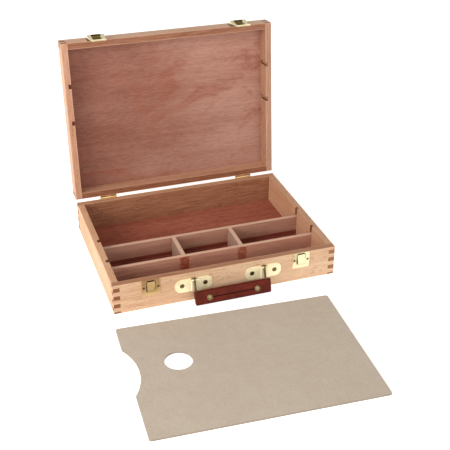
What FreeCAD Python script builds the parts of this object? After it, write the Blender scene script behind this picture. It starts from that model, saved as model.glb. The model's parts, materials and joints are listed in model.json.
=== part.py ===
import FreeCAD, Part
import Sketcher
import math
import os
import re

sizes = {
    # carcass
    "box_width": 400.0,
    "box_depth": 300.0,
    "base_height": 56.0,
    "lid_height": 31.2,
    "rim_gap": 0.4,
    "wall": 11.5,
    "panel_thickness": 3.0,
    "panel_bearing": 5.0,
    "finger": 7.8,
    "rim_finger": 5.7,
    "overcut": 1.0,
    # divider insert
    "divider": 7.6,
    "divider_top": 40.0,
    "front_row": 71.0,
    "rear_row": 1.5,
    "cross_row": 54.0,
    "slot_depth": 5.0,
    "slot_fit": 0.3,
    "housing": 2.0,
    # hinges
    "hinge_spread": 275.0,
    "hinge_length": 31.0,
    "hinge_reach": 3.7,
    "knuckle_radius": 2.5,
    "hinge_pin_radius": 1.2,
    "pin_head_rise": 0.6,
    "pin_head_length": 0.8,
    "running_fit": 0.05,
    "knuckle_gap": 0.25,
    "leaf_thickness": 1.2,
    "leaf_height": 16.0,
    "leaf_screw_spread": 19.0,
    "leaf_screw_height": 9.9,
    "stop_reach": 6.0,
    "stop_thickness": 1.4,
    "stop_gap": 0.06,
    "lid_open": 95.7,
    # latches
    "latch_spread": 271.0,
    "keeper_width": 31.5,
    "keeper_height": 30.5,
    "keeper_thickness": 1.0,
    "keeper_screw_drop": 14.6,
    "latch_screw_spread": 25.0,
    "boss_width": 14.5,
    "boss_top": 3.6,
    "boss_bottom": 21.6,
    "boss_rise": 3.0,
    "boss_slope": 15.0,
    "mouth_height": 2.6,
    "plate_height": 19.0,
    "plate_lift": 0.6,
    "plate_screw_height": 15.6,
    "pin_stand": 6.2,
    "pin_height": 8.0,
    "barrel_radius": 3.2,
    "hasp_pin_radius": 1.3,
    "hasp_middle": 17.0,
    "hasp_width": 30.6,
    "hasp_tip_width": 24.0,
    "hasp_sheet": 1.2,
    "hasp_stand": 4.6,
    "hasp_neck_inner": 0.96,
    "hasp_neck_outer": 2.88,
    "hasp_bend": 8.0,
    "hasp_window_drop": 22.6,
    "hasp_drop": 28.0,
    "hasp_lip": 2.6,
    "corner_radius": 2.5,
    "press_root": 0.2,
    # handle
    "handle_offset": 2.0,
    "handle_plate_spread": 126.0,
    "handle_plate_width": 66.0,
    "handle_plate_height": 26.0,
    "handle_plate_centre": 32.0,
    "handle_plate_thickness": 1.2,
    "handle_plate_radius": 11.0,
    "handle_screw_spread": 41.2,
    "rib_width": 11.5,
    "rib_crown": 7.4,
    "rib_shy": 0.4,
    "rib_rise": 1.6,
    "bridge_stand": 5.4,
    "bridge_radius": 1.7,
    "bridge_width": 9.0,
    "bridge_drop": 1.9,
    "bridge_leg": 2.2,
    "link_wire": 1.25,
    "link_fit": 0.25,
    "link_room": 0.6,
    "link_reach": 29.0,
    "link_foot": 1.4,
    "handle_tilt": 20.0,
    "strap_end": 6.0,
    "strap_shift": 2.5,
    "handle_depth": 25.0,
    "handle_thickness": 8.0,
    "handle_round": 3.2,
    "handle_taper": 3.0,
    "floor_clearance": 0.4,
    "rivet_spread": 86.0,
    "rivet_radius": 5.6,
    "rivet_dome": 1.5,
    "rivet_shank": 2.2,
    "rivet_drop": 13.5,
    # screws
    "plate_screw_head": 2.3,
    "plate_screw_shank": 1.25,
    "plate_screw_length": 8.0,
    "handle_screw_head": 4.2,
    "handle_screw_shank": 1.7,
    "handle_screw_length": 9.0,
    "screw_slot": 0.7,
    "screw_slot_depth": 0.5,
    # palette
    "palette_width": 368.0,
    "palette_depth": 266.0,
    "palette_thickness": 3.4,
    "palette_corner": 4.0,
    "palette_left": 31.7,
    "palette_ahead": 187.5,
    "palette_turn": 3.0,
    "thumb_radius": 22.5,
    "thumb_left": 104.0,
    "thumb_back": 27.0,
    "notch_chord": 115.0,
    "notch_depth": 17.0,
    "notch_back": 20.0,
}

# lengths that follow from the sizes above
derived = {
    "half_width": "(box_width / 2)",
    "half_depth": "(box_depth / 2)",
    "lid_rim": "(base_height + rim_gap)",
    "lid_top": "(lid_rim + lid_height)",
    "pivot_y": "(half_depth + hinge_reach)",
    "pivot_z": "(base_height + rim_gap / 2)",
    "panel_inset": "(wall - panel_bearing)",
    "slot_width": "(divider + 2 * slot_fit)",
    "divider_foot": "(panel_thickness + slot_fit)",
    "handle_length": "(handle_plate_spread + 2 * strap_end)",
    "stop_angle": "(lid_open / 2 * 1 deg)",
    "knuckle_clear": "(knuckle_radius + knuckle_gap)",
    "knuckle_span": "(hinge_length / 3)",
    "hasp_y": "(-half_depth - pin_stand)",
    "hasp_z": "(lid_rim + pin_height)",
    "bridge_y": "(-half_depth - bridge_stand)",
    "bridge_z": "(handle_plate_centre + handle_plate_height / 2 - bridge_drop)",
    "link_bend": "(bridge_radius + link_fit + link_wire)",
    "link_slot": "(bridge_z - link_bend - link_wire - link_room)",
    "handle_reach": "((bridge_z - floor_clearance - handle_round - (handle_thickness / 2 - handle_round)"
                    " * sin(handle_tilt * 1 deg)) / cos(handle_tilt * 1 deg) + handle_round)",
    "notch_radius": "((notch_chord * notch_chord / 4 + notch_depth * notch_depth) / (2 * notch_depth))",
}

doc = FreeCAD.newDocument("art_supply_box")
sheet = doc.addObject("Spreadsheet::Sheet", "Dims")
for row, (name, number) in enumerate(sizes.items(), start=1):
    sheet.set(f"A{row}", name)
    sheet.set(f"B{row}", str(number))
    sheet.setAlias(f"B{row}", name)
doc.recompute()


def formula(text):
    words = str(text)
    while re.search(r"\b(" + "|".join(derived) + r")\b", words):
        words = re.sub(r"[a-z_]+", lambda found: derived.get(found[0], found[0]), words)
    return re.sub(r"[a-z_]+", lambda found: "Dims." + found[0] if found[0] in sizes else found[0], words)


def bind(thing, **values):
    for prop, text in values.items():
        thing.setExpression(prop.replace("__", "."), formula(text))


def new_body(label):
    body = doc.addObject("PartDesign::Body", label)
    body.Label = label
    return body


def origin_item(body, role):
    return next(item for item in body.Origin.OriginFeatures if item.Role == role)


def new_sketch(body, plane, offset="0"):
    sketch = body.newObject("Sketcher::SketchObject", body.Name + "_sketch")
    sketch.AttachmentSupport = [(origin_item(body, plane), "")]
    sketch.MapMode = "FlatFace"
    bind(sketch, AttachmentOffset__Base__z=offset)
    return sketch


def hold(sketch, kind, geometry, point, text):
    index = sketch.addConstraint(Sketcher.Constraint(kind, -1, 1, geometry, point, 1.0))
    sketch.setExpression(f"Constraints[{index}]", formula(text))


def polygon(sketch, points):
    first = sketch.GeometryCount
    count = len(points)
    turn = 2 * math.pi / count
    spots = [FreeCAD.Vector(math.cos(turn * i), math.sin(turn * i), 0) for i in range(count)]
    for i in range(count):
        sketch.addGeometry(Part.LineSegment(spots[i], spots[(i + 1) % count]))
    for i in range(count):
        sketch.addConstraint(Sketcher.Constraint("Coincident", first + i, 2, first + (i + 1) % count, 1))
    for i, (across, up) in enumerate(points):
        hold(sketch, "DistanceX", first + i, 1, across)
        hold(sketch, "DistanceY", first + i, 1, up)


def rectangle(sketch, x_low, x_high, y_low, y_high):
    polygon(sketch, [(x_low, y_low), (x_high, y_low), (x_high, y_high), (x_low, y_high)])


def circle(sketch, across, up, radius):
    index = sketch.addGeometry(Part.Circle(FreeCAD.Vector(0, 0, 0), FreeCAD.Vector(0, 0, 1), 2.0))
    hold(sketch, "DistanceX", index, 3, across)
    hold(sketch, "DistanceY", index, 3, up)
    size = sketch.addConstraint(Sketcher.Constraint("Radius", index, 1.0))
    sketch.setExpression(f"Constraints[{size}]", formula(radius))


def pad(body, sketch, length):
    feature = body.newObject("PartDesign::Pad", body.Name + "_pad")
    feature.Profile = sketch
    bind(feature, Length=length)
    body.Tip = feature
    return feature


def pocket(body, sketch, length):
    feature = body.newObject("PartDesign::Pocket", body.Name + "_pocket")
    feature.Profile = sketch
    feature.Reversed = True
    bind(feature, Length=length)
    body.Tip = feature
    return feature


def repeat(body, feature, axis, step, count, backwards):
    pattern = body.newObject("PartDesign::LinearPattern", body.Name + "_pattern")
    pattern.Originals = [feature]
    pattern.Direction = (origin_item(body, axis), [""])
    pattern.Reversed = backwards
    pattern.Mode = "Spacing"
    bind(pattern, Offset=step, Occurrences=count)
    body.Tip = pattern


def round_edges(body, radius, wanted):
    doc.recompute()
    names = [f"Edge{i}" for i, edge in enumerate(body.Shape.Edges, start=1) if wanted(edge)]
    worked = body.Tip
    feature = body.newObject("PartDesign::Fillet", body.Name + "_round")
    feature.Base = (worked, names)
    bind(feature, Radius=radius)
    body.Tip = feature


def runs_along(axis):
    def test(edge):
        ends = edge.Vertexes
        if len(ends) != 2 or edge.Curve.TypeId != "Part::GeomLine":
            return False
        way = (ends[1].Point - ends[0].Point).normalize()
        return abs(way.dot(axis)) > 0.999
    return test


along_x = runs_along(FreeCAD.Vector(1, 0, 0))
along_y = runs_along(FreeCAD.Vector(0, 1, 0))
along_z = runs_along(FreeCAD.Vector(0, 0, 1))


def cylinder(name, radius, length, x, y, z, axis=(0, 0, 1), turn=0):
    rod = doc.addObject("Part::Cylinder", name)
    bind(rod, Radius=radius, Height=length)
    place(rod, x, y, z, axis, turn)
    return rod


def place(thing, x, y, z, axis=(0, 0, 1), turn=0):
    rotation = FreeCAD.Rotation(FreeCAD.Vector(*axis), turn)
    thing.Placement = FreeCAD.Placement(FreeCAD.Vector(0, 0, 0), rotation)
    bind(thing, Placement__Base__x=x, Placement__Base__y=y, Placement__Base__z=z)


def group(label, members):
    whole = doc.addObject("Part::Compound", label)
    whole.Label = label
    whole.Links = members
    return whole


def union(label, members):
    whole = doc.addObject("Part::MultiFuse", label)
    whole.Label = label
    whole.Shapes = members
    return whole


def cut(label, base, tool):
    rest = doc.addObject("Part::Cut", label)
    rest.Label = label
    rest.Base = base
    rest.Tool = tool
    return rest


turn_x = (1, 0, 0)
turn_y = (0, 1, 0)
nodes = {}
lid_pieces = []
sides = {"left": "-1", "right": "1"}


def keep(label, thing, on_lid=False):
    thing.Label = label
    nodes[label] = thing
    if on_lid:
        lid_pieces.append(thing)


# screws: countersunk heads flush with the plate, slotted, each driven the way its turn points it
def screws(label, spots, head, shank, length, turn):
    blanks = []
    slots = []
    for i, (x, y, z) in enumerate(spots):
        cone = doc.addObject("Part::Cone", f"{label}_head_{i}")
        bind(cone, Radius1=head, Radius2=shank, Height=f"{head} - {shank}")
        place(cone, x, y, z, turn_x, turn)
        shaft = cylinder(f"{label}_shank_{i}", shank, length, x, y, z, turn_x, turn)
        blanks.append(union(f"{label}_blank_{i}", [cone, shaft]))
        slot = doc.addObject("Part::Box", f"{label}_slot_{i}")
        bind(slot, Length=f"2 * {head}", Width="screw_slot", Height="screw_slot_depth")
        drive = FreeCAD.Rotation(FreeCAD.Vector(*turn_x), turn)
        back = drive.multVec(FreeCAD.Vector(0, -1, 0))
        slot.Placement = FreeCAD.Placement(FreeCAD.Vector(0, 0, 0), drive)
        bind(slot, Placement__Base__x=f"{x} - {head}",
             Placement__Base__y=f"{y} + {round(back.y)} * screw_slot / 2",
             Placement__Base__z=f"{z} + {round(back.z)} * screw_slot / 2")
        slots.append(slot)
    blank = group(label + "_blanks", blanks)
    return blank, cut(label, blank, group(label + "_slots", slots))


keeper_face = "-half_depth - keeper_thickness"
latch_spots = [f"{side} * latch_spread / 2 + {end} * latch_screw_spread / 2"
               for side in sides.values() for end in sides.values()]
keeper_blank, keeper_screws = screws(
    "keeper_screws", [(x, keeper_face, "base_height - keeper_screw_drop") for x in latch_spots],
    "plate_screw_head", "plate_screw_shank", "plate_screw_length", -90)
plate_blank, plate_screws = screws(
    "latch_plate_screws", [(x, keeper_face, "lid_rim + plate_screw_height") for x in latch_spots],
    "plate_screw_head", "plate_screw_shank", "plate_screw_length", -90)
handle_blank, handle_screws = screws(
    "handle_plate_screws",
    [(f"handle_offset + {side} * handle_plate_spread / 2 + {end} * handle_screw_spread / 2",
      "-half_depth - handle_plate_thickness", "handle_plate_centre")
     for side in sides.values() for end in sides.values()],
    "handle_screw_head", "handle_screw_shank", "handle_screw_length", -90)
leaf_spots = [f"{side} * hinge_spread / 2 + {end} * leaf_screw_spread / 2"
              for side in sides.values() for end in sides.values()]
leaf_face = "half_depth + leaf_thickness"
base_leaf_blank, base_leaf_screws = screws(
    "hinge_base_screws", [(x, leaf_face, "base_height - leaf_screw_height") for x in leaf_spots],
    "plate_screw_head", "plate_screw_shank", "plate_screw_length", 90)
lid_leaf_blank, lid_leaf_screws = screws(
    "hinge_lid_screws", [(x, leaf_face, "lid_rim + leaf_screw_height") for x in leaf_spots],
    "plate_screw_head", "plate_screw_shank", "plate_screw_length", 90)
keep("keeper_screws", keeper_screws)
keep("handle_plate_screws", handle_screws)
keep("hinge_base_screws", base_leaf_screws)
keep("hinge_lid_screws", lid_leaf_screws, True)
keep("latch_plate_screws", plate_screws, True)


# carcass: the finger joints are cut through both halves at one pitch
def wall_body(label, plane, inner, low, high, reach, notch, panel_low, slotted):
    body = new_body(label)
    notch_low, step_up, notch_count = notch
    sketch = new_sketch(body, plane, inner)
    rectangle(sketch, f"-{reach}", reach, low, high)
    pad(body, sketch, "wall")
    notches = new_sketch(body, plane, inner)
    rectangle(notches, f"-{reach} - overcut", f"-{reach} + wall", notch_low, f"{notch_low} + finger")
    rectangle(notches, f"{reach} - wall", f"{reach} + overcut", notch_low, f"{notch_low} + finger")
    repeat(body, pocket(body, notches, "wall"), "Z_Axis", "2 * finger", notch_count, not step_up)
    bed = new_sketch(body, "XY_Plane", panel_low)
    rectangle(bed, "-half_width + panel_inset", "half_width - panel_inset",
              "-half_depth + panel_inset", "half_depth - panel_inset")
    pocket(body, bed, "panel_thickness")
    if slotted:
        slot = new_sketch(body, "XY_Plane", low)
        for middle in ("-front_row", "-rear_row"):
            rectangle(slot, "-half_width + wall - slot_depth", "half_width - wall + slot_depth",
                      f"{middle} - slot_width / 2", f"{middle} + slot_width / 2")
        pocket(body, slot, f"{high} - {low}")
    return body


base_long = ("base_height - rim_finger - finger", False,
             "ceil((base_height - rim_finger) / (2 * finger))")
base_short = ("base_height - rim_finger", False,
              "ceil((base_height - rim_finger + finger) / (2 * finger))")
lid_long = ("lid_rim", True, "ceil(lid_height / (2 * finger))")
lid_short = ("lid_rim + finger", True, "ceil((lid_height - finger) / (2 * finger))")
walls = {}
for half, low, high, long_notch, short_notch, panel_low in (
        ("base", "0", "base_height", base_long, base_short, "0"),
        ("lid", "lid_rim", "lid_top", lid_long, lid_short, "lid_top - panel_thickness")):
    for side, plane, inner, reach, notch, slotted in (
            ("front", "XZ_Plane", "half_depth - wall", "half_width", long_notch, False),
            ("rear", "XZ_Plane", "-half_depth", "half_width", long_notch, False),
            ("left", "YZ_Plane", "-half_width", "half_depth", short_notch, True),
            ("right", "YZ_Plane", "half_width - wall", "half_depth", short_notch, True)):
        walls[half, side] = wall_body(f"{half}_{side}_blank", plane, inner, low, high, reach, notch,
                                      panel_low, slotted)

keep("base_front_wall", cut("base_front_wall", walls["base", "front"],
                            group("base_front_bores", [keeper_blank, handle_blank])))
keep("base_rear_wall", cut("base_rear_wall", walls["base", "rear"], base_leaf_blank))
keep("base_left_wall", walls["base", "left"])
keep("base_right_wall", walls["base", "right"])
keep("lid_front_rail", cut("lid_front_rail", walls["lid", "front"], plate_blank), True)
keep("lid_rear_rail", cut("lid_rear_rail", walls["lid", "rear"], lid_leaf_blank), True)
keep("lid_left_rail", walls["lid", "left"], True)
keep("lid_right_rail", walls["lid", "right"], True)

for label, bottom, on_lid in (("base_panel", "0", False),
                              ("lid_panel", "lid_top - panel_thickness", True)):
    panel = new_body(label)
    sheet_outline = new_sketch(panel, "XY_Plane", bottom)
    rectangle(sheet_outline, "-half_width + panel_inset", "half_width - panel_inset",
              "-half_depth + panel_inset", "half_depth - panel_inset")
    pad(panel, sheet_outline, "panel_thickness")
    keep(label, panel, on_lid)


# divider insert: the cross dividers are housed in the facing sides of the long ones
divider_end = "half_width - wall + slot_depth - slot_fit"
for label, row, inward in (("front_long_divider", "-front_row", 1),
                           ("rear_long_divider", "-rear_row", -1)):
    divider = new_body(label)
    outline = new_sketch(divider, "XY_Plane", "divider_foot")
    rectangle(outline, f"-({divider_end})", divider_end,
              f"{row} - divider / 2", f"{row} + divider / 2")
    pad(divider, outline, "divider_top - divider_foot")
    housings = new_sketch(divider, "XY_Plane", "divider_foot")
    face = f"{row} + {inward} * divider / 2"
    edges = [f"{face} - {inward} * housing", f"{face} + {inward} * overcut"]
    for middle in ("-cross_row", "cross_row"):
        rectangle(housings, f"{middle} - divider / 2", f"{middle} + divider / 2", *edges[::inward])
    pocket(divider, housings, "divider_top - divider_foot")
    keep(label, divider)
for side, sign in sides.items():
    divider = new_body(f"{side}_cross_divider")
    outline = new_sketch(divider, "XY_Plane", "divider_foot")
    rectangle(outline, f"{sign} * cross_row - divider / 2", f"{sign} * cross_row + divider / 2",
              "-front_row + divider / 2 - housing", "-rear_row - divider / 2 + housing")
    pad(divider, outline, "divider_top - divider_foot")
    keep(f"{side}_cross_divider", divider)


# hinges: surface leaves on the rear, with full-length stop lugs that meet when the lid stands open
def leaf(label, middle, half, gaps, bore):
    body = new_body(label)
    start = f"{middle} - hinge_length / 2"
    edge = "base_height" if half < 0 else "lid_rim"
    flat = new_sketch(body, "YZ_Plane", start)
    far_edge = f"{edge} + {half} * leaf_height"
    polygon(flat, [("half_depth", edge), ("half_depth", far_edge), (leaf_face, far_edge),
                   (leaf_face, f"{edge} + {half} * knuckle_radius"),
                   ("pivot_y", f"pivot_z + {half} * knuckle_radius"),
                   ("pivot_y", f"pivot_z + {half} * rim_gap / 2")])
    pad(body, flat, "hinge_length")
    barrel = new_sketch(body, "YZ_Plane", start)
    circle(barrel, "pivot_y", "pivot_z", "knuckle_radius")
    pad(body, barrel, "hinge_length")
    lug = new_sketch(body, "YZ_Plane", start)
    lug_back = "stop_gap + stop_thickness"
    corners = [("hinge_pin_radius", "stop_gap"), ("stop_reach", "stop_gap"),
               ("stop_reach", lug_back), ("hinge_pin_radius", lug_back)]
    polygon(lug, [(f"pivot_y + ({out}) * cos(stop_angle) - ({off}) * sin(stop_angle)",
                   f"pivot_z + {half} * (({out}) * sin(stop_angle) + ({off}) * cos(stop_angle))")
                  for out, off in corners])
    pad(body, lug, "hinge_length")
    for gap_start, gap_length in gaps:
        gap = new_sketch(body, "YZ_Plane", f"{start} + {gap_start}")
        circle(gap, "pivot_y", "pivot_z", "knuckle_clear")
        pocket(body, gap, gap_length)
    hole = new_sketch(body, "YZ_Plane", start)
    circle(hole, "pivot_y", "pivot_z", bore)
    pocket(body, hole, "hinge_length")
    return body


base_gaps = [("knuckle_span - knuckle_gap / 2", "knuckle_span + knuckle_gap")]
lid_gaps = [("-overcut", "knuckle_span + knuckle_gap / 2 + overcut"),
            ("2 * knuckle_span - knuckle_gap / 2", "knuckle_span + knuckle_gap / 2 + overcut")]
for side, sign in sides.items():
    middle = f"{sign} * hinge_spread / 2"
    base_leaf = leaf(f"{side}_base_leaf_blank", middle, -1, base_gaps, "hinge_pin_radius")
    lid_leaf = leaf(f"{side}_lid_leaf_blank", middle, 1, lid_gaps, "hinge_pin_radius + running_fit")
    keep(f"{side}_hinge_base_leaf", cut(f"{side}_hinge_base_leaf", base_leaf, base_leaf_blank))
    keep(f"{side}_hinge_lid_leaf", cut(f"{side}_hinge_lid_leaf", lid_leaf, lid_leaf_blank), True)
    pin = cylinder(f"{side}_pin_shaft", "hinge_pin_radius", "hinge_length + pin_head_length",
                   f"{middle} - hinge_length / 2 - pin_head_length / 2", "pivot_y", "pivot_z",
                   turn_y, 90)
    cap = cylinder(f"{side}_pin_head", "hinge_pin_radius + pin_head_rise", "pin_head_length",
                   f"{middle} - hinge_length / 2 - pin_head_length", "pivot_y", "pivot_z", turn_y, 90)
    keep(f"{side}_hinge_pin", union(f"{side}_hinge_pin", [pin, cap]))


# latch keepers: a plate with a low drawn boss that the hasp bar catches under
for side, sign in sides.items():
    middle = f"{sign} * latch_spread / 2"
    body = new_body(f"{side}_keeper_blank")
    plate = new_sketch(body, "XZ_Plane", "half_depth")
    rectangle(plate, f"{middle} - keeper_width / 2", f"{middle} + keeper_width / 2",
              "base_height - keeper_height", "base_height")
    pad(body, plate, "keeper_thickness")
    round_edges(body, "corner_radius", along_y)
    boss = new_sketch(body, "YZ_Plane", f"{middle} - boss_width / 2")
    polygon(boss, [("-half_depth - press_root", "base_height - boss_top"),
                   (keeper_face, "base_height - boss_top"),
                   (f"{keeper_face} - boss_rise", "base_height - boss_top - boss_slope"),
                   (f"{keeper_face} - boss_rise", "base_height - boss_bottom"),
                   ("-half_depth - press_root", "base_height - boss_bottom")])
    pad(body, boss, "boss_width")
    mouth = new_sketch(body, "XZ_Plane", "half_depth")
    rectangle(mouth, f"{middle} - boss_width / 2", f"{middle} + boss_width / 2",
              "base_height - boss_top", "base_height - boss_top + mouth_height")
    pocket(body, mouth, "2 * keeper_thickness")
    keep(f"{side}_latch_keeper", cut(f"{side}_latch_keeper", body, keeper_blank))


# latch plates and hasps: the middle knuckle is on the plate, the outer ones on the hasp
for side, sign in sides.items():
    middle = f"{sign} * latch_spread / 2"
    body = new_body(f"{side}_plate_blank")
    plate = new_sketch(body, "XZ_Plane", "half_depth")
    rectangle(plate, f"{middle} - keeper_width / 2", f"{middle} + keeper_width / 2",
              "lid_rim + plate_lift", "lid_rim + plate_lift + plate_height")
    pad(body, plate, "keeper_thickness")
    round_edges(body, "corner_radius", along_y)
    knuckle = new_sketch(body, "YZ_Plane", f"{middle} - hasp_middle / 2")
    polygon(knuckle, [("-half_depth - press_root", "hasp_z - barrel_radius"),
                      ("-half_depth - press_root", "hasp_z + 2 * barrel_radius"),
                      (keeper_face, "hasp_z + 2 * barrel_radius"),
                      ("hasp_y", "hasp_z + barrel_radius"), ("hasp_y", "hasp_z - barrel_radius")])
    pad(body, knuckle, "hasp_middle")
    barrel = new_sketch(body, "YZ_Plane", f"{middle} - hasp_middle / 2")
    circle(barrel, "hasp_y", "hasp_z", "barrel_radius")
    pad(body, barrel, "hasp_middle")
    bore = new_sketch(body, "YZ_Plane", f"{middle} - hasp_middle / 2")
    circle(bore, "hasp_y", "hasp_z", "hasp_pin_radius")
    pocket(body, bore, "hasp_middle")
    keep(f"{side}_latch_plate", cut(f"{side}_latch_plate", body, plate_blank), True)

    hasp = new_body(f"{side}_hasp")
    tongue = new_sketch(hasp, "YZ_Plane", f"{middle} - hasp_width / 2")
    inner = "-half_depth - hasp_stand"
    outer = f"{inner} - hasp_sheet"
    polygon(tongue, [("hasp_y + hasp_neck_inner", "hasp_z"), ("hasp_y - hasp_neck_outer", "hasp_z"),
                     (outer, "lid_rim - hasp_bend"), (outer, "lid_rim - hasp_drop + hasp_lip"),
                     (f"{outer} - hasp_lip", "lid_rim - hasp_drop - hasp_sheet / 2"),
                     (f"{outer} - hasp_lip + hasp_sheet", "lid_rim - hasp_drop - hasp_sheet"),
                     (inner, "lid_rim - hasp_drop + hasp_lip - hasp_sheet"),
                     (inner, "lid_rim - hasp_bend")])
    pad(hasp, tongue, "hasp_width")
    eyes = new_sketch(hasp, "YZ_Plane", f"{middle} - hasp_width / 2")
    circle(eyes, "hasp_y", "hasp_z", "barrel_radius")
    pad(hasp, eyes, "hasp_width")
    window = new_sketch(hasp, "XZ_Plane", "half_depth")
    opening = "(hasp_middle / 2 + knuckle_gap)"
    polygon(window, [(f"{middle} - {opening}", "hasp_z + 2 * barrel_radius"),
                     (f"{middle} - {opening}", "lid_rim - hasp_window_drop"),
                     (f"{middle} + {opening}", "lid_rim - hasp_window_drop"),
                     (f"{middle} + {opening}", "hasp_z + 2 * barrel_radius")])
    pocket(hasp, window, "3 * pin_stand")
    taper = new_sketch(hasp, "XZ_Plane", "half_depth")
    past_tip = "lid_rim - hasp_drop - hasp_lip - hasp_sheet - overcut"
    for way in sides.values():
        past_side = f"{middle} + {way} * (hasp_width / 2 + overcut)"
        polygon(taper, [(f"{middle} + {way} * hasp_width / 2", "lid_rim"),
                        (past_side, "lid_rim"), (past_side, past_tip),
                        (f"{middle} + {way} * hasp_tip_width / 2", past_tip)])
    pocket(hasp, taper, "3 * pin_stand")
    eye = new_sketch(hasp, "YZ_Plane", f"{middle} - hasp_width / 2")
    circle(eye, "hasp_y", "hasp_z", "hasp_pin_radius + running_fit")
    pocket(hasp, eye, "hasp_width")
    keep(f"{side}_hasp", hasp, True)
    rod = cylinder(f"{side}_hasp_rod", "hasp_pin_radius", "hasp_width + pin_head_rise",
                   f"{middle} - hasp_width / 2 - pin_head_rise / 2", "hasp_y", "hasp_z", turn_y, 90)
    keep(f"{side}_hasp_pin", group(f"{side}_hasp_pin", [rod]), True)


# handle plates: a pressed rib, and a round bridge at its head that the wire link turns on
for side, sign in sides.items():
    middle = f"handle_offset + {sign} * handle_plate_spread / 2"
    body = new_body(f"{side}_handle_plate_blank")
    plate = new_sketch(body, "XZ_Plane", "half_depth")
    bottom = "handle_plate_centre - handle_plate_height / 2"
    rectangle(plate, f"{middle} - handle_plate_width / 2", f"{middle} + handle_plate_width / 2",
              bottom, "handle_plate_centre + handle_plate_height / 2")
    pad(body, plate, "handle_plate_thickness")
    round_edges(body, "handle_plate_radius", along_y)
    rib = new_sketch(body, "XY_Plane", bottom)
    crown = "-half_depth - handle_plate_thickness - rib_rise"
    polygon(rib, [(f"{middle} - rib_width / 2", "-half_depth - press_root"),
                  (f"{middle} - rib_crown / 2", crown), (f"{middle} + rib_crown / 2", crown),
                  (f"{middle} + rib_width / 2", "-half_depth - press_root")])
    pad(body, rib, f"link_slot - rib_shy - ({bottom})")
    gap = new_sketch(body, "XZ_Plane", "half_depth")
    rectangle(gap, f"{middle} - bridge_width / 2", f"{middle} + bridge_width / 2",
              "link_slot", "bridge_z + 3 * link_bend")
    pocket(body, gap, "handle_plate_thickness")
    for way in sides.values():
        near = f"{middle} + {way} * bridge_width / 2 - (1 - {way}) / 2 * bridge_leg"
        leg = new_sketch(body, "YZ_Plane", near)
        rectangle(leg, "bridge_y", "-half_depth - press_root",
                  "bridge_z - bridge_radius", "bridge_z + bridge_radius")
        pad(body, leg, "bridge_leg")
    bar = new_sketch(body, "YZ_Plane", f"{middle} - bridge_width / 2 - bridge_leg")
    circle(bar, "bridge_y", "bridge_z", "bridge_radius")
    pad(body, bar, "bridge_width + 2 * bridge_leg")
    keep(f"{side}_handle_plate", cut(f"{side}_handle_plate", body, handle_blank))


# handle, drawn hanging straight down from the bridge line and then leant out to the floor
handle_pieces = []
leg_angle = "asin((link_bend - link_foot) / link_reach)"
links = {}
for side, sign in sides.items():
    middle = f"{sign} * handle_plate_spread / 2"
    bend = doc.addObject("Part::Torus", f"{side}_link_bend")
    bind(bend, Radius1="link_bend", Radius2="link_wire")
    place(bend, middle, "0", "0", turn_y, 90)
    bow = doc.addObject("Part::Box", f"{side}_link_bow_space")
    bind(bow, Length="2 * link_bend", Width="4 * link_bend", Height="2 * link_bend")
    place(bow, f"{middle} - link_bend", "-2 * link_bend", "-2 * link_bend")
    arch = cut(f"{side}_link_arch", bend, bow)
    legs = []
    for way, lean in (("-1", 1), ("1", -1)):
        leg = cylinder(f"{side}_link_leg_{lean}", "link_wire", "link_reach",
                       middle, f"{way} * link_bend", "0", turn_x, 180 + lean)
        bind(leg, Placement__Rotation__Angle=f"180 deg - {way} * {leg_angle}")
        legs.append(leg)
    links[side] = union(f"{side}_link_wire", [arch] + legs)
    handle_pieces.append(group(f"{side}_handle_link", [links[side]]))
    keep(f"{side}_handle_link", handle_pieces[-1])

strap = new_body("handle_blank")
face = new_sketch(strap, "XZ_Plane", "-handle_thickness / 2")
polygon(face, [("strap_shift - handle_length / 2", "-handle_reach + handle_depth"),
               ("strap_shift + handle_length / 2", "-handle_reach + handle_depth"),
               ("strap_shift + handle_length / 2 - handle_taper", "-handle_reach"),
               ("strap_shift - handle_length / 2 + handle_taper", "-handle_reach")])
pad(strap, face, "handle_thickness")
round_edges(strap, "handle_round", along_x)
shanks = []
domes = []
for side, sign in sides.items():
    middle = f"strap_shift + {sign} * rivet_spread / 2"
    height = "-handle_reach + handle_depth - rivet_drop"
    shanks.append(cylinder(f"{side}_rivet_shank", "rivet_shank", "handle_thickness", middle,
                           "handle_thickness / 2", height, turn_x, 90))
    for way, turn in (("-1", 90), ("1", -90)):
        dome = doc.addObject("Part::Ellipsoid", f"{side}_rivet_dome_{turn}")
        bind(dome, Radius1="rivet_dome", Radius2="rivet_radius", Radius3="rivet_radius", Angle1="0 deg")
        place(dome, middle, f"{way} * handle_thickness / 2", height, turn_x, turn)
        domes.append(dome)
rivets = group("handle_rivets", [union(f"{side}_rivet", [shanks[i]] + domes[2 * i:2 * i + 2])
                                 for i, side in enumerate(sides)])
keep("handle_rivets", rivets)
keep("handle_strap", cut("handle_strap", strap, group("handle_bores", list(links.values()) + shanks)))
handle_pieces += [rivets, nodes["handle_strap"]]


# palette
palette = new_body("palette")
board = new_sketch(palette, "XY_Plane")
rectangle(board, "-palette_width / 2", "palette_width / 2", "-palette_depth / 2", "palette_depth / 2")
pad(palette, board, "palette_thickness")
round_edges(palette, "palette_corner", along_z)
thumb = new_sketch(palette, "XY_Plane")
circle(thumb, "-thumb_left", "thumb_back", "thumb_radius")
pocket(palette, thumb, "palette_thickness")
notch = new_sketch(palette, "XY_Plane")
circle(notch, "-palette_width / 2 + notch_depth - notch_radius", "notch_back", "notch_radius")
pocket(palette, notch, "palette_thickness")
keep("palette", palette)
place(palette, "-palette_left", "-half_depth - palette_ahead", "0", (0, 0, 1), -1)
bind(palette, Placement__Rotation__Angle="-palette_turn * 1 deg")


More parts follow.
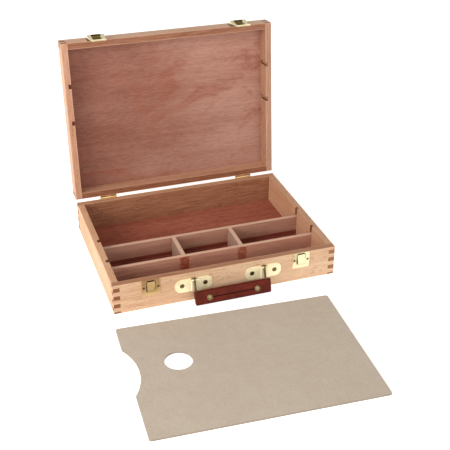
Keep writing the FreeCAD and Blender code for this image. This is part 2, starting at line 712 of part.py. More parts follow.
# the lid stands open on its stop; the handle leans on the floor
for piece in lid_pieces:
    bind(piece, Placement="placement(vector(0; 0; 0); rotation(vector(1; 0; 0); -lid_open);"
                          " vector(0; pivot_y; pivot_z))")
for piece in handle_pieces:
    bind(piece, Placement="placement(vector(handle_offset; bridge_y; bridge_z);"
                          " rotation(vector(1; 0; 0); -handle_tilt))")
doc.recompute()

for thing in doc.Objects:
    if "Invalid" in thing.State or "Error" in thing.State:
        raise RuntimeError(f"{thing.Label} did not build: {thing.State}")
for label, thing in nodes.items():
    if thing.Shape.isNull() or not thing.Shape.isValid() or not thing.Shape.Solids:
        raise RuntimeError(f"{label} has no valid solid")

os.makedirs("parts", exist_ok=True)
for label, thing in nodes.items():
    thing.Shape.exportStep(f"parts/{label}.step")
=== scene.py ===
import bpy
import bmesh
import json
import math
from mathutils import Matrix, Vector


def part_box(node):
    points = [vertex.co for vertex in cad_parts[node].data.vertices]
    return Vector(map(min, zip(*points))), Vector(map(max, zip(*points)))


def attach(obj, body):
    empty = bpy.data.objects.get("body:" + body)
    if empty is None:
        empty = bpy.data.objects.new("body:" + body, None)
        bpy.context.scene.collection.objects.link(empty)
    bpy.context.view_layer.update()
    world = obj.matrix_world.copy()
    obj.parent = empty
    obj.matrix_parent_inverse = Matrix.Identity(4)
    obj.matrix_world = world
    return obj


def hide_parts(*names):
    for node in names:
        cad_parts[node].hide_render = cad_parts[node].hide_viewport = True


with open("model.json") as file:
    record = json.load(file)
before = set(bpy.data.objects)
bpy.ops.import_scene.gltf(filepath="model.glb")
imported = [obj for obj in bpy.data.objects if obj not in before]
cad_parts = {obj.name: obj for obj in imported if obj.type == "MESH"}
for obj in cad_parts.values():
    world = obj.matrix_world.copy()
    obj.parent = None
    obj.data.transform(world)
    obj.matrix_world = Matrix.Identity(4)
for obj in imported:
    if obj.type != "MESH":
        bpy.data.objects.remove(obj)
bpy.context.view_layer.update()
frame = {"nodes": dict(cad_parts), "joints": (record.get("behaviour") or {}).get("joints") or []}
nodes = frame["nodes"]
sides = ("left", "right")
print("frame loaded,", len(nodes), "nodes")


# a screen colour, given as the linear values that sockets take
def tone(red, green, blue):
    levels = []
    for value in (red, green, blue):
        levels.append(value / 12.92 if value <= 0.04045 else ((value + 0.055) / 1.055) ** 2.4)
    return (*levels, 1.0)


# a socket that can be added, scaled and compared like a number
class Wire:
    def __init__(self, shading, socket):
        self.shading = shading
        self.socket = socket

    def maths(self, operation, first, second):
        return self.shading.add("ShaderNodeMath", {0: first, 1: second}, operation=operation)

    def __add__(self, other):
        return self.maths("ADD", self, other)

    def __radd__(self, other):
        return self.maths("ADD", other, self)

    def __sub__(self, other):
        return self.maths("SUBTRACT", self, other)

    def __rsub__(self, other):
        return self.maths("SUBTRACT", other, self)

    def __mul__(self, other):
        return self.maths("MULTIPLY", self, other)

    def __rmul__(self, other):
        return self.maths("MULTIPLY", other, self)

    def __abs__(self):
        return self.maths("ABSOLUTE", self, 0.0)

    def least(self, other):
        return self.maths("MINIMUM", self, other)

    def most(self, other):
        return self.maths("MAXIMUM", self, other)

    def under(self, other):
        return self.maths("LESS_THAN", self, other)


# a node tree, where every node comes with its settings and the values or links of its sockets
class Shading:
    def __init__(self, tree):
        self.tree = tree

    def add(self, kind, inputs=None, output=0, **settings):
        node = self.tree.nodes.new(kind)
        for key, value in settings.items():
            setattr(node, key, value)
        for key, value in (inputs or {}).items():
            if isinstance(value, Wire):
                self.tree.links.new(value.socket, node.inputs[key])
            else:
                node.inputs[key].default_value = value
        return Wire(self, node.outputs[output])

    def split(self, vector):
        node = self.add("ShaderNodeSeparateXYZ", {0: vector}).socket.node
        return [Wire(self, output) for output in node.outputs]


faceTurn = (0.5, 0.9)  # shares at which a face starts to take one way's colour, and has all of it
arrisCore = 0.25  # share of an edge band's width that is fully paled, by wear and a painted highlight
noiseMiddle = 0.5


# one material; swing turns its pattern with the open lid or the leaning strap, so that it follows the piece
class Finish(Shading):
    def __init__(self, name, swing=None, **constants):
        self.material = bpy.data.materials.new(name)
        self.material.use_nodes = True
        super().__init__(self.material.node_tree)
        self.shader = self.tree.nodes["Principled BSDF"]
        for socket, value in constants.items():
            self.shader.inputs[socket.replace("_", " ")].default_value = value
        self.spot = self.turned("Object", swing and swing["pivot"], swing)
        self.facing = self.turned("Normal", (0.0, 0.0, 0.0), swing)

    def turned(self, output, centre, swing):
        spot = self.add("ShaderNodeTexCoord", output=output)
        if not swing:
            return spot
        inputs = {"Vector": spot, "Center": centre, "Angle": swing["angle"]}
        return self.add("ShaderNodeVectorRotate", inputs, rotation_type="X_AXIS")

    def drive(self, socket, wire):
        self.tree.links.new(wire.socket, self.shader.inputs[socket])

    def noise(self, scale, detail=3.0, rough=0.55, bend=0.0, shift=0.0):
        moved = self.add("ShaderNodeVectorMath", {0: self.spot, 1: scale, 2: (shift,) * 3},
                         operation="MULTIPLY_ADD")
        return self.add("ShaderNodeTexNoise", {"Vector": moved, "Scale": 1.0, "Detail": detail,
                                               "Roughness": rough, "Distortion": bend}, output="Fac")

    # noise of one size in every direction
    def even(self, scale, **settings):
        return self.noise((scale,) * 3, **settings)

    def ramp(self, wire, low, high):
        return self.add("ShaderNodeMapRange", {"Value": wire, "From Min": low, "From Max": high},
                        interpolation_type="SMOOTHSTEP")

    # 1 on faces that look one way, from the share of their normal that lies along it
    def towards(self, share):
        return self.ramp(share, *faceTurn)

    def blend(self, amount, first, second, kind="MIX"):
        return self.add("ShaderNodeMix", {0: amount, 6: first, 7: second}, output=2,
                        data_type="RGBA", blend_type=kind)

    def tinted(self, colour, tint):
        return self.blend(1.0, colour, tint, "MULTIPLY")

    def bump(self, height, strength, distance):
        self.drive("Normal", self.add("ShaderNodeBump", {"Height": height, "Strength": strength,
                                                         "Distance": distance}, output="Normal"))

    # 1 along the edges of a box, 0 away from them
    def arris(self, low, high, width):
        gaps = []
        for axis, place in enumerate(self.split(self.spot)):
            gaps.append(abs(place - low[axis]).least(abs(place - high[axis])))
        across, along, up = gaps
        second = across.least(along).most(across.most(along).least(up))
        return 1.0 - self.ramp(second, width * arrisCore, width)


def jointNamed(name):
    return next(joint for joint in frame["joints"] if joint["name"] == name)


handleLean = 20.0  # degrees that the strap leans out from the front wall
lidJoint = jointNamed("lid_hinge")
lidFold = {"pivot": tuple(lidJoint["pos_m"]), "angle": math.radians(-lidJoint["range_deg"][0])}
handleHang = {"pivot": tuple(jointNamed("handle_swing")["pos_m"]), "angle": math.radians(handleLean)}


# lowest and highest corner of a board, in the closed lid's place if it is one of the lid's
def boardBox(name, swing):
    corners = [vertex.co for vertex in nodes[name].data.vertices]
    if swing:
        pivot = Vector(swing["pivot"])
        back = Matrix.Rotation(swing["angle"], 3, "X")
        corners = [back @ (corner - pivot) + pivot for corner in corners]
    return tuple(tuple(pick(corner[axis] for corner in corners) for axis in range(3)) for pick in (min, max))


# sizes are counts a metre, along the board and across it; spans are where a ramp starts and ends
timberDefaults = {
    "streak": 0.45, "streakReach": 0.4, "growthSize": (4.0, 110.0), "cloudSize": (6.0, 16.0), "cloud": 0.4,
    "fleck": 0.55, "dashSize": (150.0, 650.0), "dashCut": 0.58, "dashSoft": 0.08,
    "clumpSize": (14.0, 40.0), "clumpSpan": (0.42, 0.66), "clumpShift": 3.0,
    "pore": 0.22, "poreSize": (35.0, 620.0), "darkPores": (0.46, 0.66), "palePores": (0.54, 0.36),
    "paleShare": 0.6, "wear": 0.35, "edge": 0.0016,
    "ringSize": (40.0, 420.0), "ringSpan": (0.3, 0.7), "endSpan": (0.8, 0.95),
    "rough": 0.5, "roughPores": 0.15, "specular": 0.30, "bump": 0.15, "bumpDepth": 0.0004, "bumpPores": 0.6,
    "shift": 0.0, "faces": None,
}


# timber: growth streaks along the board, short dark flecks, end grain and worn arrises, paled also as a
# painted highlight
def timber(node, look, axis, swing=None):
    look = {**timberDefaults, **look}
    wood = Finish(node + "_wood", swing, Specular_IOR_Level=look["specular"])

    def grain(size, shift=look["shift"], **settings):
        along, across = look[size]
        scale = tuple(along if way == axis else across for way in range(3))
        return wood.noise(scale, shift=shift, **settings)

    growth = grain("growthSize", detail=5.0, rough=0.6, bend=0.7)
    fibre = grain("poreSize", rough=0.65)
    cloud = grain("cloudSize", detail=2.0)
    mixed = growth * (1.0 - look["cloud"]) + cloud * look["cloud"]
    reach = look["streak"] * look["streakReach"]
    body = wood.blend(wood.ramp(mixed, noiseMiddle - reach, noiseMiddle + reach), look["dark"], look["pale"])
    if look["faces"]:
        body = look["faces"](wood, body)
    dash = wood.ramp(grain("dashSize", detail=1.0), look["dashCut"], look["dashCut"] + look["dashSoft"])
    clump = grain("clumpSize", look["shift"] + look["clumpShift"], detail=2.0)
    body = wood.blend(dash * wood.ramp(clump, *look["clumpSpan"]) * look["fleck"], body, look["mark"])
    body = wood.blend(wood.ramp(fibre, *look["darkPores"]) * look["pore"], body, look["mark"])
    bright = wood.ramp(fibre, *look["palePores"]) * look["pore"] * look["paleShare"]
    body = wood.blend(bright, body, look["pale"])
    low, high = boardBox(node, swing)
    # worn arrises, paled by wear and as a painted highlight along the board's edges
    body = wood.blend(wood.arris(low, high, look["edge"]) * look["wear"], body, look["pale"])
    ending = wood.ramp(abs(wood.split(wood.facing)[axis]), *look["endSpan"])
    rings = wood.ramp(grain("ringSize", detail=2.0), *look["ringSpan"])
    wood.drive("Base Color", wood.blend(ending, body, wood.blend(rings, look["end"], look["mark"])))
    wood.drive("Roughness", look["rough"] + fibre * look["roughPores"])
    relief = fibre * look["bumpPores"] + growth * (1.0 - look["bumpPores"])
    wood.bump(relief, look["bump"], look["bumpDepth"])
    return wood.material


beech = {"pale": tone(0.876, 0.69, 0.545), "dark": tone(0.80, 0.59, 0.435), "mark": tone(0.48, 0.28, 0.17),
         "end": tone(0.47, 0.28, 0.17)}
# painted shade and light: per-board tints for inner faces, rims and some outer faces
paintedLightTints = {
    "base": {"rear": {"inner": (0.41, 0.28, 0.24), "rim": (0.75, 0.70, 0.66)},
             "front": {"inner": (0.60, 0.50, 0.45), "rim": (0.60, 0.50, 0.46), "outer": (0.82, 0.94, 1.0)},
             "left": {"inner": (0.70, 0.60, 0.55), "rim": (1.0, 1.0, 1.0)},
             "right": {"inner": (0.71, 0.66, 0.66), "rim": (0.88, 0.92, 1.0)}},
    "lid": {"rear": {"inner": (0.84, 0.79, 0.86), "rim": (0.28, 0.15, 0.10)},
            "front": {"inner": (0.44, 0.29, 0.24), "rim": (0.32, 0.21, 0.17), "outer": (1.12, 1.22, 1.38)},
            "left": {"inner": (0.64, 0.56, 0.53), "rim": (0.63, 0.58, 0.62), "outer": (0.88, 0.93, 1.03)},
            "right": {"inner": (0.52, 0.47, 0.47), "rim": (0.51, 0.49, 0.57)}},
}
rimGrain = tone(0.60, 0.42, 0.30)
boardExtras = {"base_rear": {"streak": 0.8, "fleck": 0.6, "dashCut": 0.54, "dashSize": (200.0, 420.0),
                             "mark": tone(0.38, 0.20, 0.12)},
               "base_right": {"end": rimGrain, "fleck": 0.7, "dashCut": 0.55},
               "lid_left": {"end": rimGrain},
               "lid_right": {"end": rimGrain, "fleck": 0.8, "dashCut": 0.55}}
boardShift = {"row": 1.7, "lid": 0.6}  # keeps the grain of two boards from being alike
# painted shade: the dark patch behind each keeper's mouth
keeperMouthShade = {"half": 0.0062, "low": 0.0524, "high": 0.0549, "soft": 0.0002,
               "colour": tone(0.10, 0.06, 0.03)}


# painted shade and light: inner faces and sawn rims are darkened as painted shade, each board has tints of
# its own for the light on it, and some outer faces are lightened as a painted sheen
def paintedBoardLight(side, half):
    axis = 1 if side in ("front", "rear") else 0
    inward = 1.0 if side in ("front", "left") else -1.0
    upward = 1.0 if half == "base" else -1.0

    def faced(wood, body):
        ways = wood.split(wood.facing)
        shares = {"inner": ways[axis] * inward, "outer": ways[axis] * -inward, "rim": ways[2] * upward}
        for face, tint in paintedLightTints[half][side].items():
            body = wood.blend(wood.towards(shares[face]), body, wood.tinted(body, (*tint, 1.0)))
        return paintedMouthShade(wood, body) if (half, side) == ("base", "front") else body
    return faced


# painted shade behind the mouth of each latch keeper, a dark patch standing for the shaded recess
def paintedMouthShade(wood, body):
    low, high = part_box("right_latch_keeper")
    across, _, up = wood.split(wood.spot)
    beside = abs(abs(across) - (low[0] + high[0]) / 2) - keeperMouthShade["half"]
    outside = beside.most(keeperMouthShade["low"] - up).most(up - keeperMouthShade["high"])
    within = 1.0 - wood.ramp(outside, -keeperMouthShade["soft"], keeperMouthShade["soft"])
    return wood.blend(within, body, keeperMouthShade["colour"])


finishes = {}
for row, side in enumerate(("front", "rear", "left", "right")):
    axis = 0 if side in ("front", "rear") else 1
    for half, piece, fold in (("base", "wall", None), ("lid", "rail", lidFold)):
        shift = boardShift["row"] * row + (boardShift["lid"] if fold else 0.0)
        look = {**beech, **boardExtras.get(f"{half}_{side}", {}), "shift": shift,
                "faces": paintedBoardLight(side, half)}
        name = f"{half}_{side}_{piece}"
        finishes[name] = timber(name, look, axis, fold)

# painted shade at the lid leaf's left end and painted light towards its right
veneerLightDrift = {"from": (0.60, 0.51, 0.48), "to": (1.06, 1.30, 1.45), "span": (-0.22, 0.20),
               "wander": 0.3, "wanderSize": (6.0, 14.0, 14.0)}
veneerFlame = {"tint": (0.74, 0.56, 0.50), "size": (9.0, 13.0, 13.0), "span": (0.50, 0.68), "strength": 0.7}
# painted shade on the floor between the dividers
floorShade = {"tint": (0.60, 0.34, 0.30), "span": (-0.006, 0.0)}


# the lid's veneer is darkened at its left end as painted shade and paled towards its right, partly its own
# paler patch and partly painted light, with a slanting flame across its middle
def lightDriftAndFlame(wood, body):
    wander = wood.noise(veneerLightDrift["wanderSize"], detail=2.0) - noiseMiddle
    across = wood.split(wood.spot)[0] + wander * veneerLightDrift["wander"]
    tint = wood.blend(wood.ramp(across, *veneerLightDrift["span"]), (*veneerLightDrift["from"], 1.0),
                      (*veneerLightDrift["to"], 1.0))
    flame = wood.noise(veneerFlame["size"], detail=4.0, rough=0.6, bend=1.6, shift=5.0)
    flame = wood.ramp(flame, *veneerFlame["span"]) * veneerFlame["strength"]
    return wood.tinted(body, wood.blend(flame, tint, (*veneerFlame["tint"], 1.0)))


# painted shade: the floor veneer between the dividers is darkened and reddened where they shade it
def paintedFloorShade(wood, body):
    under = 1.0 - wood.ramp(wood.split(wood.spot)[1], *floorShade["span"])
    return wood.blend(under, body, wood.tinted(body, (*floorShade["tint"], 1.0)))


panelLooks = {
    "lid_panel": {"pale": tone(0.66, 0.45, 0.37), "dark": tone(0.60, 0.38, 0.30),
                  "mark": tone(0.42, 0.22, 0.16), "end": tone(0.45, 0.26, 0.18),
                  "streak": 0.5, "fleck": 0.3, "pore": 0.34, "rough": 0.55, "wear": 0.0,
                  "dashSize": (90.0, 620.0), "poreSize": (80.0, 760.0), "faces": lightDriftAndFlame},
    "base_panel": {"pale": tone(0.72, 0.43, 0.34), "dark": tone(0.60, 0.32, 0.24),
                   "mark": tone(0.38, 0.16, 0.11), "end": tone(0.45, 0.26, 0.18),
                   "streak": 0.5, "fleck": 0.3, "pore": 0.45, "rough": 0.5, "wear": 0.0,
                   "dashSize": (90.0, 520.0), "poreSize": (60.0, 560.0), "faces": paintedFloorShade},
}
for name, look in panelLooks.items():
    finishes[name] = timber(name, look, 0, lidFold if name == "lid_panel" else None)

dividerEnd = tone(0.50, 0.32, 0.24)
dividerLook = {"pale": tone(0.70, 0.51, 0.425), "dark": tone(0.605, 0.41, 0.325),
               "mark": tone(0.38, 0.22, 0.16), "end": dividerEnd, "fleck": 0.25, "wear": 0.5}
# painted light: the front divider takes paler tones than the other dividers, for the light that falls on it
frontLitTones = {"pale": tone(0.80, 0.58, 0.485), "dark": tone(0.69, 0.465, 0.37)}
crossLook = {"pale": tone(0.66, 0.525, 0.46), "dark": tone(0.595, 0.455, 0.385),
             "mark": tone(0.50, 0.36, 0.28), "end": dividerEnd, "fleck": 0.2, "wear": 0.3}
dividerShift = {"rear": 2.3, "cross": 4.1}
glueMarks = {"width": 0.0165, "core": 0.35, "fade": 0.65, "ragged": 0.006, "raggedSize": 420.0,
             "wornSize": 300.0, "wornSpan": (0.25, 0.5), "wornShift": 90.0,
             "colour": tone(0.59, 0.23, 0.12), "strength": {"left": 0.95, "right": 0.8}}
# painted shade: the red strip at the foot of the rear divider
footShade = {"height": 0.0095, "full": 0.75, "colour": tone(0.45, 0.12, 0.07), "strength": 0.9}
sawnTop = {"colour": tone(0.90, 0.74, 0.63), "strength": 0.85}


# glue squeezed out on the front divider where the cross dividers are let in
def glued(wood, body):
    across = wood.split(wood.spot)[0]
    facing = wood.towards(wood.split(wood.facing)[1] * -1.0)
    ragged = (wood.even(glueMarks["raggedSize"], rough=0.6) - noiseMiddle) * glueMarks["ragged"]
    width = glueMarks["width"]
    for side in sides:
        low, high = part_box(f"{side}_cross_divider")
        middle = (low[0] + high[0]) / 2
        reach = abs(across - middle) + ragged
        patch = 1.0 - wood.ramp(reach, width * glueMarks["core"], width * glueMarks["fade"])
        worn = wood.even(glueMarks["wornSize"], detail=2.0, shift=middle * glueMarks["wornShift"])
        worn = wood.ramp(worn, *glueMarks["wornSpan"])
        body = wood.blend(patch * worn * facing * glueMarks["strength"][side], body, glueMarks["colour"])
    return topped(wood, body)


# painted shade: a deep red strip along the foot of the rear divider, on the side of the small cells, standing
# for the shaded floor beneath it
def paintedFootShade(wood, body):
    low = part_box("rear_long_divider")[0]
    facing = wood.towards(wood.split(wood.facing)[1] * -1.0)
    rise = wood.split(wood.spot)[2] - low[2]
    strip = 1.0 - wood.ramp(rise, footShade["height"] * footShade["full"], footShade["height"])
    body = wood.blend(strip * facing * footShade["strength"], body, footShade["colour"])
    return topped(wood, body)


# the planed top edge of a divider is paler than its faces
def topped(wood, body):
    top = wood.towards(wood.split(wood.facing)[2])
    return wood.blend(top * sawnTop["strength"], body, sawnTop["colour"])


frontLook = {**dividerLook, **frontLitTones, "faces": glued}
rearLook = {**dividerLook, "shift": dividerShift["rear"], "faces": paintedFootShade}
finishes["front_long_divider"] = timber("front_long_divider", frontLook, 0)
finishes["rear_long_divider"] = timber("rear_long_divider", rearLook, 0)
for row, side in enumerate(sides):
    name = f"{side}_cross_divider"
    finishes[name] = timber(name, {**crossLook, "shift": dividerShift["cross"] + row, "faces": topped}, 1)
print("timber ready")

paletteLook = {"pale": tone(0.795, 0.735, 0.665), "dark": tone(0.775, 0.71, 0.635),
               "speck": tone(0.62, 0.53, 0.44), "rim": tone(0.56, 0.50, 0.44),
               "mottleSize": 45.0, "driftSize": 7.0, "drift": 0.4, "mottleSpan": (0.35, 0.65),
               "speckSize": 900.0, "speckSpan": (0.46, 0.72), "speckStrength": 0.45,
               "fibreSize": (230.0, 330.0, 330.0), "darkFibres": (0.50, 0.68), "darkStrength": 0.22,
               "paleFibres": (0.48, 0.30), "paleStrength": 0.35,
               "rough": 0.55, "roughSpeck": 0.2, "bump": 0.12, "bumpDepth": 0.0003, "specular": 0.25}


# palette: pressed board with a soft mottle, short fibres, a fine speckle and a sawn edge
def paletteBoard():
    look = paletteLook
    board = Finish("palette_board", Specular_IOR_Level=look["specular"])
    mottle = board.even(look["mottleSize"], detail=4.0, rough=0.6)
    drift = board.even(look["driftSize"], detail=2.0)
    speck = board.even(look["speckSize"], detail=2.0)
    fibre = board.noise(look["fibreSize"], rough=0.6, bend=1.2)
    mixed = mottle * (1.0 - look["drift"]) + drift * look["drift"]
    colour = board.blend(board.ramp(mixed, *look["mottleSpan"]), look["dark"], look["pale"])
    colour = board.blend(board.ramp(speck, *look["speckSpan"]) * look["speckStrength"], colour, look["speck"])
    colour = board.blend(board.ramp(fibre, *look["darkFibres"]) * look["darkStrength"], colour, look["speck"])
    colour = board.blend(board.ramp(fibre, *look["paleFibres"]) * look["paleStrength"], colour, look["pale"])
    sawn = 1.0 - board.towards(abs(board.split(board.facing)[2]))
    board.drive("Base Color", board.blend(sawn, colour, look["rim"]))
    board.drive("Roughness", look["rough"] + speck * look["roughSpeck"])
    board.bump(speck, look["bump"], look["bumpDepth"])
    return board.material


finishes["palette"] = paletteBoard()
print("palette ready")

metalDefaults = {"metallic": 1.0, "wear": 0.2, "cornerShade": 0.0, "rimShadeAndBlack": None, "smearSize": 70.0,
                 "smearSpan": (0.45, 0.8), "smear": 0.6, "hazeSize": 500.0, "bump": 0.02, "bumpDepth": 0.0001}
metalLooks = {
    "plated_brass": {"colour": tone(0.97, 0.92, 0.76), "stain": tone(0.84, 0.74, 0.48), "rough": 0.47,
                     "metallic": 0.6},
    "lit_latch_brass": {"colour": tone(0.94, 0.88, 0.71), "stain": tone(0.78, 0.66, 0.42), "rough": 0.20,
                    "cornerShade": 0.85},
    "aged_and_shaded_brass": {"colour": tone(0.83, 0.70, 0.50), "stain": tone(0.62, 0.48, 0.28), "rough": 0.24,
                   "cornerShade": 0.85},
    # painted shade: the latch plate seen through each hasp's window is this dark brass, standing for the
    # shade under the hasp
    "painted_shade_brass": {"colour": tone(0.34, 0.28, 0.15), "stain": tone(0.20, 0.15, 0.08), "rough": 0.30,
                   "wear": 0.3},
    "screw_brass": {"colour": tone(0.46, 0.39, 0.26), "stain": tone(0.24, 0.19, 0.12), "rough": 0.26},
    "antique_rivet": {"colour": tone(0.57, 0.48, 0.35), "stain": tone(0.36, 0.27, 0.17), "rough": 0.34,
                      "rimShadeAndBlack": tone(0.16, 0.11, 0.07)},
    "link_wire": {"colour": tone(0.42, 0.38, 0.28), "stain": tone(0.24, 0.20, 0.14), "rough": 0.28},
}
# painted shade: the colour that darkens the corner round each keeper's boss
cornerShadeColour = metalLooks["painted_shade_brass"]["stain"]
keeperBoss = {"half": 0.00725, "top": 0.0036, "bottom": 0.0216, "line": 0.0010, "core": 0.3, "depth": 0.01}
# painted shade at each rivet dome's rim, with an antique black ring
rivetDome = {"rim": (0.22, 0.45), "ringIn": (0.02, 0.05), "ringOut": (0.07, 0.11), "ring": 0.7,
             "strength": 0.9}


# painted shade in the corner where a keeper's boss is drawn out of its plate
def bossCornerShade(brass):
    low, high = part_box("right_latch_keeper")
    across, along, up = brass.split(brass.spot)
    core = keeperBoss["line"] * keeperBoss["core"]
    side = abs(abs(across) - (low[0] + high[0]) / 2) - keeperBoss["half"]
    foot = high[2] - keeperBoss["bottom"] - up
    crown = up - high[2] + keeperBoss["top"]
    edge = abs(side.most(foot).most(crown) - core)
    onKeeper = 1.0 - brass.ramp(along, high[1], high[1] + keeperBoss["depth"])
    return (1.0 - brass.ramp(edge, core, keeperBoss["line"])) * onKeeper


# painted shade darkening the rim of a rivet's dome where it turns away, and antique black in a ring round its
# crown
def rivetRimShadeAndRing(brass):
    across, _, up = brass.split(brass.facing)
    lean = across * across + up * up
    ring = brass.ramp(lean, *rivetDome["ringIn"]) - brass.ramp(lean, *rivetDome["ringOut"])
    return brass.ramp(lean, *rivetDome["rim"]).most(ring * rivetDome["ring"]) * rivetDome["strength"]


def metal(name):
    look = {**metalDefaults, **metalLooks[name]}
    brass = Finish(name, handleHang if look["rimShadeAndBlack"] else None, Metallic=look["metallic"])
    smear = brass.even(look["smearSize"], detail=4.0)
    haze = brass.even(look["hazeSize"])
    colour = brass.blend(brass.ramp(smear, *look["smearSpan"]) * look["smear"], look["colour"], look["stain"])
    if look["cornerShade"]:
        colour = brass.blend(bossCornerShade(brass) * look["cornerShade"], colour, cornerShadeColour)
    if look["rimShadeAndBlack"]:
        colour = brass.blend(rivetRimShadeAndRing(brass), colour, look["rimShadeAndBlack"])
    brass.drive("Base Color", colour)
    brass.drive("Roughness", look["rough"] + smear * haze * look["wear"])
    brass.bump(haze, look["bump"], look["bumpDepth"])
    return brass.material


pairMetals = {"handle_plate": "plated_brass", "hasp": "plated_brass", "hasp_pin": "plated_brass",
              "hinge_base_leaf": "aged_and_shaded_brass", "hinge_lid_leaf": "aged_and_shaded_brass", "hinge_pin": "aged_and_shaded_brass",
              "latch_plate": "painted_shade_brass", "handle_link": "link_wire"}
# painted light and shade: the right keeper takes a paler lit brass and the left keeper the darker aged brass
# as its shaded copy
keeperLitAndShadedMetals = {"left": "aged_and_shaded_brass", "right": "lit_latch_brass"}
screwSets = ("keeper", "handle_plate", "hinge_base", "hinge_lid", "latch_plate")

metals = {name: metal(name) for name in metalLooks}
for side in sides:
    for piece, name in pairMetals.items():
        finishes[f"{side}_{piece}"] = metals[name]
    finishes[f"{side}_latch_keeper"] = metals[keeperLitAndShadedMetals[side]]
for piece in screwSets:
    finishes[f"{piece}_screws"] = metals["screw_brass"]
finishes["handle_rivets"] = metals["antique_rivet"]
print("metal ready")

leatherLook = {"dark": tone(0.31, 0.085, 0.035), "pale": tone(0.385, 0.12, 0.055), "patchSize": 60.0,
               "patchSpan": (0.35, 0.7), "scuff": tone(0.50, 0.22, 0.13), "scuffSize": (160.0, 700.0, 700.0),
               "scuffSpan": (0.58, 0.75), "scuffStrength": 0.25, "lowerShade": tone(0.20, 0.065, 0.035),
               "lowerShadeSpan": (0.004, 0.011), "lowerShadeStrength": 0.45, "seam": tone(0.10, 0.03, 0.02),
               "seamCore": 0.3, "seamEnd": 0.002, "seamShadeStrength": 0.9, "pebbleSize": 1500.0,
               "rough": 0.42, "roughPebble": 0.22, "coat": 0.05, "coatScuff": 0.03, "coatRough": 0.28,
               "bump": 0.25, "bumpDepth": 0.0003, "specular": 0.09}


# leather: pebbled and scuffed, with painted shade darkening it below the seam and darkest in the seam's
# groove
def leather(seam, middle, reach):
    look = leatherLook
    hide = Finish("handle_leather", handleHang, Specular_IOR_Level=look["specular"],
                  Coat_Roughness=look["coatRough"])
    pebble = hide.even(look["pebbleSize"])
    patch = hide.even(look["patchSize"], detail=4.0)
    scuff = hide.ramp(hide.noise(look["scuffSize"]), *look["scuffSpan"])
    colour = hide.blend(hide.ramp(patch, *look["patchSpan"]), look["dark"], look["pale"])
    colour = hide.blend(scuff * look["scuffStrength"], colour, look["scuff"])
    across, _, up = hide.split(hide.spot)
    # painted shade over the strap's lower part, below the seam
    lowerShadeMask = hide.ramp(up, *(seam - drop for drop in look["lowerShadeSpan"]))
    colour = hide.blend(lowerShadeMask * look["lowerShadeStrength"], colour, look["lowerShade"])
    width = strapShape["grooveWidth"]
    # painted shade in the seam's groove
    seamShade = 1.0 - hide.ramp(abs(up - seam), width * look["seamCore"], width)
    within = 1.0 - hide.ramp(abs(across - middle), reach - look["seamEnd"], reach)
    hide.drive("Base Color", hide.blend(seamShade * within * look["seamShadeStrength"], colour, look["seam"]))
    hide.drive("Roughness", look["rough"] + pebble * look["roughPebble"])
    hide.drive("Coat Weight", look["coat"] - scuff * look["coatScuff"])
    hide.bump(pebble, look["bump"], look["bumpDepth"])
    return hide.material


strapShape = {"round": 0.0032, "roundSteps": 5, "corner": 0.0018, "cornerSteps": 4, "taper": 0.001,
              "groove": 0.0012, "grooveWidth": 0.0012, "grooveDrop": 0.0135, "grooveInset": 0.024,
              "grooveCuts": (-1.0, -0.35, 0.35, 1.0), "slices": 24, "sharpAngle": 50}
touching = 1e-5  # points this near a plane lie on it
cutGap = 1e-7
longEdge = 0.01
endFacing = 0.9


def rounded(bar, edges, radius, steps):
    bmesh.ops.bevel(bar, geom=edges, offset=radius, affect="EDGES", segments=steps, profile=0.5, material=-1)


def cut(bar, point, normal):
    bmesh.ops.bisect_plane(bar, geom=bar.verts[:] + bar.edges[:] + bar.faces[:], dist=cutGap,
                           plane_co=point, plane_no=normal)


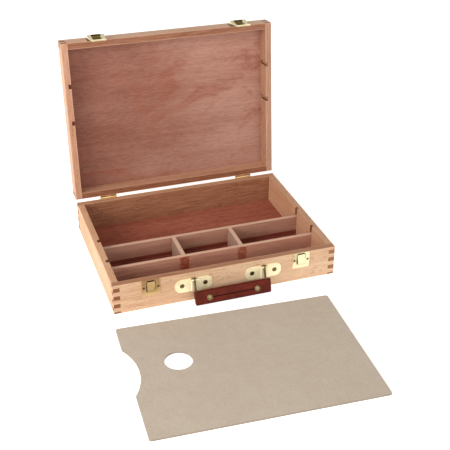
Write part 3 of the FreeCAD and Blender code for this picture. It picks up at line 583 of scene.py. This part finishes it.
# handle: a folded leather strap, its flap edge a groove between the rivets
def strap():
    shape = strapShape
    pivot = Vector(handleHang["pivot"])
    lean = Matrix.Rotation(-handleHang["angle"], 4, "X")
    hung = [lean.inverted() @ (vertex.co - pivot) for vertex in nodes["handle_strap"].data.vertices]
    low = Vector([min(corner[axis] for corner in hung) for axis in range(3)])
    high = Vector([max(corner[axis] for corner in hung) for axis in range(3)])
    bar = bmesh.new()
    bmesh.ops.create_cube(bar, size=1.0)
    bmesh.ops.scale(bar, verts=bar.verts, vec=high - low)
    bmesh.ops.translate(bar, verts=bar.verts, vec=(low + high) / 2)
    feet = [vertex for vertex in bar.verts if vertex.co.z < low.z + touching]
    for end, inward in ((low.x, 1.0), (high.x, -1.0)):
        foot = [vertex for vertex in feet if abs(vertex.co.x - end) < touching]
        bmesh.ops.translate(bar, verts=foot, vec=(inward * shape["taper"], 0, 0))
    lengthwise = [edge for edge in bar.edges if abs((edge.verts[0].co - edge.verts[1].co).x) > longEdge]
    rounded(bar, lengthwise, shape["round"], shape["roundSteps"])
    bar.normal_update()
    ends = [edge for edge in bar.edges if any(abs(face.normal.x) > endFacing for face in edge.link_faces)]
    rounded(bar, ends, shape["corner"], shape["cornerSteps"])
    seam = high.z - shape["grooveDrop"]
    for step in shape["grooveCuts"]:
        cut(bar, (0, 0, seam + step * shape["grooveWidth"]), (0, 0, 1))
    for count in range(1, shape["slices"]):
        cut(bar, (low.x + (high.x - low.x) * (count / shape["slices"]), 0, 0), (1, 0, 0))
    groove = [vertex for vertex in bar.verts if vertex.co.y < low.y + touching
              and abs(vertex.co.z - seam) < shape["grooveWidth"] / 2
              and low.x + shape["grooveInset"] < vertex.co.x < high.x - shape["grooveInset"]]
    bmesh.ops.translate(bar, verts=groove, vec=(0, shape["groove"], 0))
    bmesh.ops.recalc_face_normals(bar, faces=bar.faces)
    for face in bar.faces:
        face.smooth = True
    bmesh.ops.transform(bar, matrix=Matrix.Translation(pivot) @ lean, verts=bar.verts)
    mesh = bpy.data.meshes.new("leather_strap")
    bar.to_mesh(mesh)
    bar.free()
    mesh.set_sharp_from_angle(angle=math.radians(shape["sharpAngle"]))
    piece = bpy.data.objects.new("leather_strap", mesh)
    bpy.context.scene.collection.objects.link(piece)
    reach = (high.x - low.x) / 2 - shape["grooveInset"]
    mesh.materials.append(leather(pivot.z + seam, pivot.x + (low.x + high.x) / 2, reach))
    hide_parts("handle_strap")
    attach(piece, "handle")
    return mesh.materials[0]


finishes["handle_strap"] = strap()
print("strap ready")

for name, piece in nodes.items():
    piece.data.materials.clear()
    piece.data.materials.append(finishes[name])
print("finishes on", len(nodes), "nodes")

white = (1.0, 1.0, 1.0, 1.0)
paperFloor = {"reach": 8.0, "drop": -0.0005, "colour": (0.92, 0.92, 0.92, 1.0), "rough": 0.9, "glow": 0.6}


# white paper floor
def floor():
    mesh = bpy.data.meshes.new("floor")
    sheet = bmesh.new()
    bmesh.ops.create_grid(sheet, x_segments=1, y_segments=1, size=paperFloor["reach"])
    bmesh.ops.translate(sheet, verts=sheet.verts, vec=(0, 0, paperFloor["drop"]))
    sheet.to_mesh(mesh)
    sheet.free()
    ground = bpy.data.objects.new("floor", mesh)
    bpy.context.scene.collection.objects.link(ground)
    paper = Finish("floor_paper", Base_Color=paperFloor["colour"], Roughness=paperFloor["rough"],
                   Specular_IOR_Level=0.0, Emission_Color=white, Emission_Strength=paperFloor["glow"])
    mesh.materials.append(paper.material)


lamps = {
    "key": {"at": (-2.4, -0.9, 1.1), "aim": (0.0, 0.0, 0.1), "size": 1.6, "power": 62.0},
    "front": {"at": (0.3, -3.0, 1.3), "aim": (0.0, -0.1, 0.1), "size": 2.2, "power": 38.0},
}
skyTones = {"ground": 1.05, "horizon": 0.80, "zenith": 0.30, "fadeFrom": 0.25, "fadeTo": 0.9,
            "groundLine": 0.01}


def aimed(thing, place, target):
    way = Vector(target) - Vector(place)
    thing.matrix_world = Matrix.Translation(place) @ way.to_track_quat("-Z", "Y").to_matrix().to_4x4()


# soft lamps from the left and the front, under a white sky that is dimmer overhead
def studio():
    for name, lamp in lamps.items():
        light = bpy.data.lights.new(name, "AREA")
        light.size = lamp["size"]
        light.energy = lamp["power"]
        holder = bpy.data.objects.new(name, light)
        bpy.context.scene.collection.objects.link(holder)
        aimed(holder, lamp["at"], lamp["aim"])
    world = bpy.data.worlds.new("studio")
    bpy.context.scene.world = world
    world.use_nodes = True
    sky = Shading(world.node_tree)
    up = sky.split(sky.add("ShaderNodeTexCoord", output="Generated"))[2]
    fade = sky.add("ShaderNodeMapRange", {"Value": up, "From Min": skyTones["fadeFrom"],
                                          "From Max": skyTones["fadeTo"], "To Min": skyTones["horizon"],
                                          "To Max": skyTones["zenith"]})
    strength = sky.add("ShaderNodeMix", {"Factor": up.under(skyTones["groundLine"]), "A": fade,
                                         "B": skyTones["ground"]})
    background = world.node_tree.nodes["Background"]
    background.inputs["Color"].default_value = white
    world.node_tree.links.new(strength.socket, background.inputs["Strength"])
    bpy.context.scene.view_settings.view_transform = "Standard"


# camera at the photograph's angle
viewpoint = {"at": (-0.43974, -1.39556, 0.90489), "lens": 73.79, "sensor": 36.0,
             "right": (0.94559, -0.32530, 0.00696), "down": (-0.15795, -0.47762, -0.86425)}


def camera():
    eye = bpy.data.cameras.new("camera")
    eye.lens = viewpoint["lens"]
    eye.sensor_width = viewpoint["sensor"]
    holder = bpy.data.objects.new("camera", eye)
    bpy.context.scene.collection.objects.link(holder)
    right = Vector(viewpoint["right"]).normalized()
    up = -Vector(viewpoint["down"]).normalized()
    back = right.cross(up).normalized()
    turn = Matrix((right, back.cross(right), back)).transposed().to_4x4()
    holder.matrix_world = Matrix.Translation(viewpoint["at"]) @ turn
    bpy.context.scene.camera = holder


floor()
studio()
camera()
print("stage ready")
